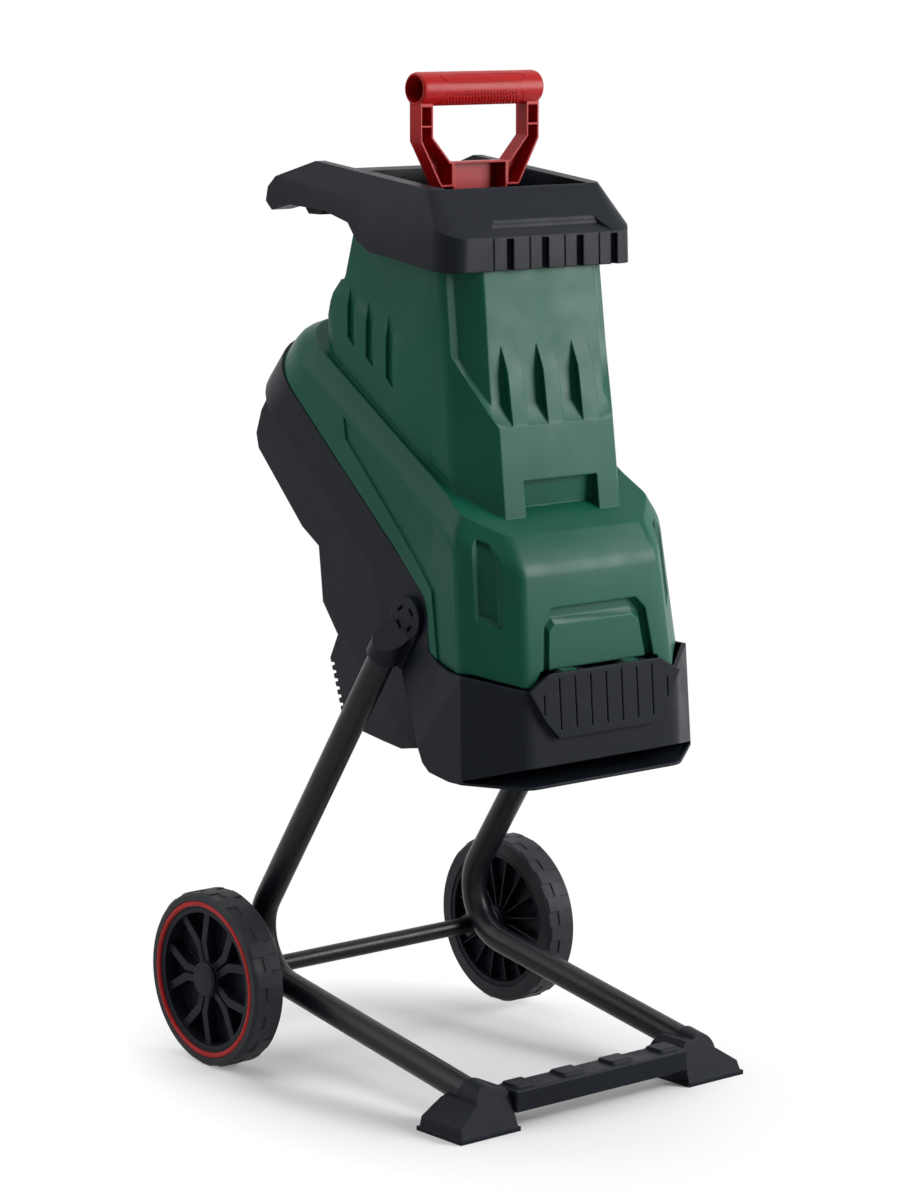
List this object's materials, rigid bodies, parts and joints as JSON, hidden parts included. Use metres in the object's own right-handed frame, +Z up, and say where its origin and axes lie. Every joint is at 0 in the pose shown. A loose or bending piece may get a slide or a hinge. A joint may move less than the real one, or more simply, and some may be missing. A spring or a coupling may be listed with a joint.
{
  "type": "garden shredder",
  "caption": "Electric garden shredder: hinged green hopper over a knife disc and geared motor in a black housing, on a bent-tube stand with wheels, with a red pusher.",
  "frame": {"origin": "on the floor under the middle of the bounding box", "axes": "front (discharge chute) towards -Y, +X to the right as the picture shows it, +Z up"},
  "size_m": [0.3924, 0.426, 0.92],
  "materials": {
    "black_plastic": "fine moulded texture",
    "green_plastic": "satin moulded",
    "red_plastic": "satin moulded",
    "black_tube": "satin powder coat",
    "tyre": "matt",
    "green_button": "satin",
    "grey_plastic": "matt",
    "yellow_film": "satin",
    "steel": "zinc plated",
    "gear_steel": "ground",
    "core_steel": "stacked laminations",
    "copper": "enamelled wire",
    "cast_alloy": "as cast",
    "brown_plastic": "moulded",
    "carbon": "matt"
  },
  "bodies": {
    "stand": {"left_leg_tube": "black_tube", "right_leg_tube": "black_tube", "axle_tube": "black_tube", "axle": "steel", "axle_washers": "steel", "axle_caps": "steel", "left_foot": "black_plastic", "right_foot": "black_plastic", "foot_rail": "black_plastic", "foot_screws": "steel", "left_leg_bracket": "black_plastic", "right_leg_bracket": "black_plastic", "bracket_bolts": "steel", "lower_housing": "black_plastic", "motor_cover": "black_plastic", "cover_screws": "steel", "switch_panel": "black_plastic", "power_inlet": "black_plastic", "capacitor": "yellow_film", "interlock_switch": "grey_plastic", "gear_plate": "cast_alloy", "gear_plate_screws": "steel", "stator_core": "core_steel", "field_coils": "copper", "stator_screws": "steel", "brush_holders": "brown_plastic", "carbon_brushes": "carbon", "motor_bearings": "steel", "spindle_bearings": "steel", "hinge_pin": "steel"},
    "left_wheel": {"left_tyre": "tyre", "left_rim": "black_plastic", "left_trim_ring": "red_plastic", "left_hub_cap": "black_plastic"},
    "right_wheel": {"right_tyre": "tyre", "right_rim": "black_plastic", "right_trim_ring": "red_plastic", "right_hub_cap": "black_plastic"},
    "cutter": {"spindle": "steel", "drive_gear": "gear_steel", "knife_disc": "gear_steel", "knives": "steel", "knife_screws": "steel", "disc_bolt": "steel"},
    "rotor": {"motor_shaft": "steel", "armature_core": "core_steel", "armature_windings": "copper", "commutator": "copper", "cooling_fan": "black_plastic"},
    "hopper": {"upper_housing": "green_plastic", "feed_funnel": "black_plastic", "chamber_cover": "black_plastic", "counter_knife": "steel", "hopper_collar": "black_plastic", "hopper_screws": "steel"},
    "locking_knob": {"lock_knob": "black_plastic"},
    "feed_pusher": {"pusher": "red_plastic"},
    "on_key": {"on_button": "green_button"},
    "off_key": {"off_button": "red_plastic"},
    "reset_key": {"reset_button": "grey_plastic"}
  },
  "joints": [
    {"name": "left_wheel_spin", "type": "hinge", "parent": "stand", "child": "left_wheel", "pos_m": [-0.179, 0.1305, 0.0825], "axis": [1, 0, 0], "continuous": true},
    {"name": "right_wheel_spin", "type": "hinge", "parent": "stand", "child": "right_wheel", "pos_m": [0.179, 0.1305, 0.0825], "axis": [1, 0, 0], "continuous": true},
    {"name": "disc_spin", "type": "hinge", "parent": "stand", "child": "cutter", "pos_m": [0, -0.05647, 0.50171], "axis": [0, 0.6561, -0.7547], "continuous": true},
    {"name": "motor_spin", "type": "hinge", "parent": "stand", "child": "rotor", "pos_m": [0, -0.08591, 0.47612], "axis": [0, 0.6561, -0.7547], "continuous": true},
    {"name": "hopper_open", "type": "hinge", "parent": "stand", "child": "hopper", "pos_m": [0, -0.1985, 0.3995], "axis": [1, 0, 0], "range_deg": [0, 60]},
    {"name": "knob_turn", "type": "hinge", "parent": "hopper", "child": "locking_knob", "pos_m": [0, 0.12315, 0.65785], "axis": [0, -0.6561, 0.7547], "continuous": true},
    {"name": "pusher_slide", "type": "slide", "parent": "hopper", "child": "feed_pusher", "axis": [0, 0, 1], "range_m": [0, 0.3]},
    {"name": "on_press", "type": "slide", "parent": "stand", "child": "on_key", "axis": [0, -0.7547, -0.6561], "range_m": [0, 0.004], "stiffness_N_per_m": 400},
    {"name": "off_press", "type": "slide", "parent": "stand", "child": "off_key", "axis": [0, -0.7547, -0.6561], "range_m": [0, 0.004], "stiffness_N_per_m": 400},
    {"name": "reset_press", "type": "slide", "parent": "stand", "child": "reset_key", "axis": [0, -0.7547, -0.6561], "range_m": [0, 0.004], "stiffness_N_per_m": 400}
  ],
  "couplings": [
    {"joint": "motor_spin", "follows": "disc_spin", "ratio": -3.3333}
  ]
}
